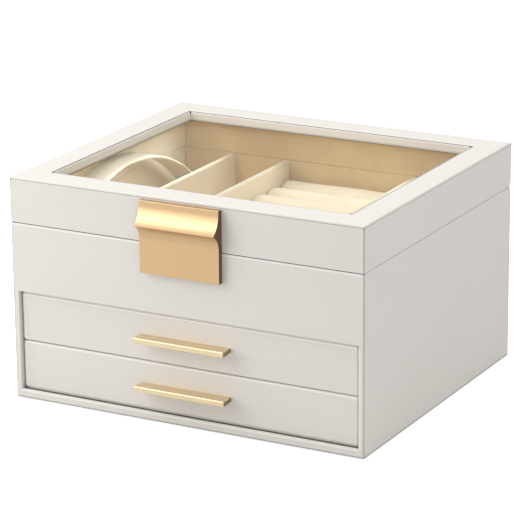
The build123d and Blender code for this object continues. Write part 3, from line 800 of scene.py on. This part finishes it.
def addRing(work, low, high, thickness, bottom, top):
    x0, y0, x1, y1 = low[0], low[1], high[0], high[1]
    addBox(work, (x0, y0, bottom), (x1, y0 + thickness, top))
    addBox(work, (x0, y1 - thickness, bottom), (x1, y1, top))
    addBox(work, (x0, y0 + thickness, bottom), (x0 + thickness, y1 - thickness, top))
    addBox(work, (x1 - thickness, y0 + thickness, bottom), (x1, y1 - thickness, top))


def addCorners(work, low, high, size, inset, front, back):
    half = size / 2
    for x in (low[0] + inset, high[0] - inset):
        for y, (bottom, top) in ((low[1] + inset, front), (high[1] - inset, back)):
            post = addBox(work, (-half, -half, bottom), (half, half, top))
            place = Matrix.Translation((x, y, 0.0)) @ Matrix.Rotation(math.pi / 4, 4, "Z")
            bmesh.ops.transform(work, matrix=place, verts=post)


def finishStrips(work, name, body, material):
    mesh = bpy.data.meshes.new(name)
    bmesh.ops.recalc_face_normals(work, faces=work.faces)
    work.to_mesh(mesh)
    work.free()
    lines = makeObject(name, mesh)
    paint(lines, materials[material])
    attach(lines, body)


def insetPlan(low, high, amount):
    return (low[0] + amount, low[1] + amount), (high[0] - amount, high[1] - amount)


topLow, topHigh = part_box("lid_top_frame")
wallLow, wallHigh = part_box("lid_left_wall")
beadLow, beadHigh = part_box("window_bead")
caseLow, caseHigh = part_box("left_side_panel")
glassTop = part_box("glass_pane")[1][2]
work = bmesh.new()
# Painted shade: pale grey strips in the upright corners of the lid
front = (wallLow[2] + seams["cornerEnd"], wallHigh[2])
back = (wallLow[2] + seams["hingeClear"], wallHigh[2])
addCorners(work, topLow, topHigh, seams["corner"], seams["cornerInset"], front, back)
finishStrips(work, "lidCornerShadeLines", "lid", "corner")
# Painted shade: a dark strip under the edge of the top frame
work = bmesh.new()
creaseLow, creaseHigh = insetPlan(topLow, topHigh, seams["creaseInset"])
addRing(work, creaseLow, creaseHigh, seams["creaseDepth"], wallHigh[2] - seams["crease"], wallHigh[2])
finishStrips(work, "lidCreaseShade", "lid", "crease")
# Painted shade on the step at the top of the bead, and a mid-tone seal ring where the glass meets the bead
work = bmesh.new()
beadTop = beadHigh[2]
addRing(work, beadLow, beadHigh, seams["beadLine"], beadTop - seams["beadSunk"], beadTop + seams["beadProud"])
sealLow, sealHigh = insetPlan(beadLow, beadHigh, seams["beadWidth"] - seams["sealProud"])
sealTop, bandTop = glassTop + seams["seal"], glassTop + seams["band"]
addRing(work, sealLow, sealHigh, seams["sealDepth"], glassTop, sealTop)
finishStrips(work, "windowShadeAndSealLines", "lid", "seam")
# Painted shade: a greyer band on the reveal just above the seal
work = bmesh.new()
addRing(work, sealLow, sealHigh, seams["bandDepth"], sealTop, bandTop)
finishStrips(work, "windowShadeBands", "lid", "band")
# Painted shade: dark notches in the corners of the window bead
work = bmesh.new()
mitre = (beadTop - seams["mitre"], beadTop + seams["mitreProud"])
addCorners(work, sealLow, sealHigh, seams["mitre"], 0.0, mitre, mitre)
finishStrips(work, "windowMitreShade", "lid", "crease")
work = bmesh.new()
# Painted shade: pale grey strips in the upright corners of the case
front = (caseLow[2] + seams["cornerEnd"], caseHigh[2] - seams["cornerEnd"])
back = (caseLow[2] + seams["cornerEnd"], caseHigh[2] - seams["hingeClear"])
addCorners(work, topLow, topHigh, seams["corner"], seams["cornerInset"], front, back)
finishStrips(work, "caseCornerShadeLines", "case", "corner")

# Lips on the drawer fronts, which narrow the gaps round them: pale ones as painted highlight, and one in the
# middle gap as painted shade

lips = {
    "lowEnd": 0.001, "lowBack": 0.0008, "lowDepth": 0.004, "lowSunk": 0.0002, "under": 0.0008, "over": 0.0002,
    "end": 0.0008, "back": 0.0005, "depth": 0.004, "sunk": 0.0004, "top": 0.0003, "side": 0.0009,
}


def addLip(name, drawer, material, low, high):
    work = bmesh.new()
    addBox(work, low, high)
    finishStrips(work, name, drawer, material)


low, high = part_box("lower_drawer_front")
x0, x1 = low[0] + lips["lowEnd"], high[0] - lips["lowEnd"]
y0 = low[1] + lips["lowBack"]
y1 = y0 + lips["lowDepth"]
z0, z1 = low[2] - lips["under"], low[2] + lips["lowSunk"]
# Painted highlight: a pale lip under the lower drawer front
addLip("lowerDrawerHighlightLip", "lower_drawer", "edge", (x0, y0, z0), (x1, y1, z1))
z0, z1 = high[2] - lips["lowSunk"], high[2] + lips["over"]
# Painted shade: a greyer strip in the gap above the lower drawer
addLip("drawerTopShadeStrip", "lower_drawer", "band", (x0, y0, z0), (x1, y1, z1))
low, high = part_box("upper_drawer_front")
x0, x1 = low[0] + lips["end"], high[0] - lips["end"]
y0, y1 = low[1] + lips["back"], low[1] + lips["depth"]
z0, z1 = high[2] - lips["sunk"], high[2] + lips["top"]
# Painted highlight: a pale lip on top of the upper drawer front
addLip("upperDrawerHighlightLip", "upper_drawer", "edge", (x0, y0, z0), (x1, y1, z1))
# Painted highlight: pale lips at the left ends of both drawer fronts
for drawer in ("upper_drawer", "lower_drawer"):
    low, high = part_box(drawer + "_front")
    x0, x1 = low[0] - lips["side"], low[0] + lips["sunk"]
    y0, y1 = low[1] + lips["back"], low[1] + lips["depth"]
    z0, z1 = low[2] + lips["end"], high[2] - lips["end"]
    addLip(drawer + "SideHighlightLip", drawer, "edge", (x0, y0, z0), (x1, y1, z1))

# A dark strip of painted shade between the lid and the case at the front and back, and a paler one at the
# sides

rim = {"inset": 0.0003, "depth": 0.002, "back": 0.0035, "side": 0.0001, "sunk": 0.0002, "fill": 0.7}
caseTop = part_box("front_frame")[1][2]
work = bmesh.new()
rimLow = (topLow[0] + rim["inset"], topLow[1] + rim["inset"])
rimHigh = (topHigh[0] - rim["inset"], topHigh[1] - rim["back"])
depth, foot, crown = rim["depth"], caseTop - rim["sunk"], caseTop + rim["fill"] * (wallLow[2] - caseTop)
addBox(work, (rimLow[0], rimLow[1], foot), (rimHigh[0], rimLow[1] + depth, crown))
addBox(work, (rimLow[0], rimHigh[1] - depth, foot), (rimHigh[0], rimHigh[1], crown))
finishStrips(work, "rimShadeStrip", "case", "crease")
work = bmesh.new()
side = topHigh[0] - rim["side"]
for x in (-side, side - depth):
    addBox(work, (x, rimLow[1] + depth, foot), (x + depth, rimHigh[1] - depth, crown))
finishStrips(work, "rimSideShadeStrip", "case", "band")

# Painted highlights: strips of paler leather along the top and left edges of the drawer fronts

edges = {"start": 0.0005, "end": 0.0017, "proud": 0.00003, "sunk": 0.0003}
start, end = edges["start"], edges["end"]


def addHighlightStrip(work, x0, x1, z0, z1, face):
    addBox(work, (x0, face - edges["proud"], z0), (x1, face + edges["sunk"], z1))


for drawer in ("upper_drawer", "lower_drawer"):
    low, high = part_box(drawer + "_front")
    work = bmesh.new()
    addHighlightStrip(work, low[0] + start, high[0] - start, high[2] - end, high[2] - start, low[1])
    addHighlightStrip(work, low[0] + start, low[0] + end, low[2] + start, high[2] - end, low[1])
    finishStrips(work, drawer + "HighlightStrips", drawer, "edge")

# The front frame: painted highlights along its edges, and painted shade at the back of the rail's top

rail = {
    "gap": 0.0011, "sideGap": 0.0021,
    "shade": 0.0014, "under": 0.001, "end": 0.0004, "sunk": 0.0003, "proud": 0.00006,
}
frontLow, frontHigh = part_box("lower_drawer_front")
low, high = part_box("front_frame")
railTop = frontLow[2] - rail["gap"]
opening = frontHigh[0] + rail["sideGap"]
work = bmesh.new()
addHighlightStrip(work, -opening, opening, railTop - end, railTop - start, low[1])
addHighlightStrip(work, opening + start, opening + end, railTop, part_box("upper_drawer_front")[1][2], low[1])
addHighlightStrip(work, low[0] + start, high[0] - start, high[2] - end, high[2] - start, low[1])
finishStrips(work, "frameHighlightStrips", "case", "edge")
work = bmesh.new()
x = opening - rail["end"]
y0, y1 = frontLow[1] - rail["shade"], frontLow[1] + rail["under"]
addBox(work, (-x, y0, railTop - rail["sunk"]), (x, y1, railTop + rail["proud"]))
finishStrips(work, "railShade", "case", "gap")

# A faint line of painted shade round the foot of the case

footLine = {"rise": 0.0001, "top": 0.0011, "depth": 0.0004}
work = bmesh.new()
baseLow, baseHigh = insetPlan(topLow, topHigh, -edges["proud"])
z0, z1 = caseLow[2] + footLine["rise"], caseLow[2] + footLine["top"]
addRing(work, baseLow, baseHigh, footLine["depth"], z0, z1)
finishStrips(work, "baseShadeLines", "case", "corner")
print("stage: seams")

# Camera, floor and light

view = {
    "place": (0.94072, -1.74362, 0.70197),
    "right": (0.880321, 0.474290, -0.009159),
    "down": (0.132344, -0.264091, -0.955375),
    "forward": (-0.455544, 0.839824, -0.295255),
    "focalPixels": 2841.37,
    "imagePixels": 520,
    "sensor": 36.0,
    "far": 50.0,
}
cameraData = bpy.data.cameras.new("photoCamera")
cameraData.sensor_width = view["sensor"]
cameraData.lens = view["sensor"] * view["focalPixels"] / view["imagePixels"]
cameraData.clip_end = view["far"]
camera = makeObject("photoCamera", cameraData)
right, up = Vector(view["right"]), -Vector(view["down"])
axes = Matrix((right, up, -Vector(view["forward"]))).transposed()
camera.matrix_world = Matrix.Translation(view["place"]) @ axes.to_4x4()
scene.camera = camera

# Three lamps stand round the box, and two small ones inside it lift the shade under the lid

lamps = {
    "overhead": {
        "place": (0.0, 0.25, 1.25), "aim": (0.0, 0.0, 0.1), "size": (0.5, 0.5), "power": 2.7,
    },
    "frontLeft": {
        "place": (-0.82, -0.52, 0.62), "aim": (-0.05, -0.1, 0.08), "size": (1.15, 1.15), "power": 9.5,
    },
    "right": {
        "place": (1.0, 0.05, 0.98), "aim": (0.0, 0.0, 0.08), "size": (0.8, 0.8), "power": 4.0,
    },
    "bayFill": {
        "place": (-0.097, 0.0, 0.1535), "aim": (-0.112, 0.0, 0.09), "size": (0.2, 0.008), "power": 0.02,
    },
    "rollFill": {
        "place": (0.045, 0.104, 0.1525), "aim": (0.045, 0.05, 0.118), "size": (0.13, 0.008), "power": 0.009,
    },
}
for name, values in lamps.items():
    lampData = bpy.data.lights.new(name, "AREA")
    lampData.shape = "RECTANGLE"
    lampData.size, lampData.size_y = values["size"]
    lampData.energy = values["power"]
    lamp = makeObject(name, lampData)
    lamp.visible_camera = False
    lamp.location = values["place"]
    aim = Vector(values["aim"]) - Vector(values["place"])
    lamp.rotation_euler = aim.to_track_quat("-Z", "Y").to_euler()

ground = {"size": 8.0, "colour": (0.76, 0.76, 0.76, 1.0), "rough": 0.9, "glow": 0.7, "shine": 0.12}
floorMesh = bpy.data.meshes.new("floor")
half = ground["size"] / 2
floorCorners = [(-half, -half, 0), (half, -half, 0), (half, half, 0), (-half, half, 0)]
floorMesh.from_pydata(floorCorners, [], [(0, 1, 2, 3)])
floor = makeObject("floor", floorMesh)
floorMaterial, tree, shader, coords = newMaterial("paleFloor")
shader.inputs["Base Color"].default_value = ground["colour"]
shader.inputs["Roughness"].default_value = ground["rough"]
shader.inputs["Specular IOR Level"].default_value = 0.0
rays = addNode(tree, "ShaderNodeLightPath", -700, 300)
shine = mathNode(tree, "MULTIPLY", -550, 150, rays.outputs["Is Glossy Ray"], ground["shine"])
glow = mathNode(tree, "MULTIPLY_ADD", -400, 300, rays.outputs["Is Camera Ray"], ground["glow"], shine)
shader.inputs["Emission Color"].default_value = (1.0, 1.0, 1.0, 1.0)
link(tree, glow, shader.inputs["Emission Strength"])
paint(floor, floorMaterial)

# The room: brighter overhead, a white card in front for reflections, and white where the camera sees it

room = {"low": 0.27, "rise": 0.5, "card": 1.6}
world = bpy.data.worlds.new("softRoom")
scene.world = world
world.use_nodes = True
tree = world.node_tree
sky = tree.nodes["Background"]
sky.inputs["Color"].default_value = (1.0, 1.0, 1.0, 1.0)
direction = addNode(tree, "ShaderNodeTexCoord", -1200, 0)
parts = addNode(tree, "ShaderNodeSeparateXYZ", -1000, 0)
link(tree, direction.outputs["Generated"], parts.inputs["Vector"])
upward = mathNode(tree, "MAXIMUM", -800, 0, parts.outputs["Z"], 0.0)
squared = mathNode(tree, "MULTIPLY", -600, 0, upward, upward)
level = mathNode(tree, "MULTIPLY_ADD", -400, 0, squared, room["rise"], room["low"])
rays = addNode(tree, "ShaderNodeLightPath", -700, 300)
towards = mathNode(tree, "MULTIPLY", -800, -250, parts.outputs["Y"], -room["card"])
ahead = mathNode(tree, "MAXIMUM", -600, -250, towards, 0.0)
card = mathNode(tree, "MULTIPLY_ADD", -400, -250, ahead, rays.outputs["Is Glossy Ray"], level)
seen = mathNode(tree, "MAXIMUM", -200, 200, card, rays.outputs["Is Camera Ray"])
link(tree, seen, sky.inputs["Strength"])
scene.view_settings.view_transform = "Standard"
print("stage: camera and light")
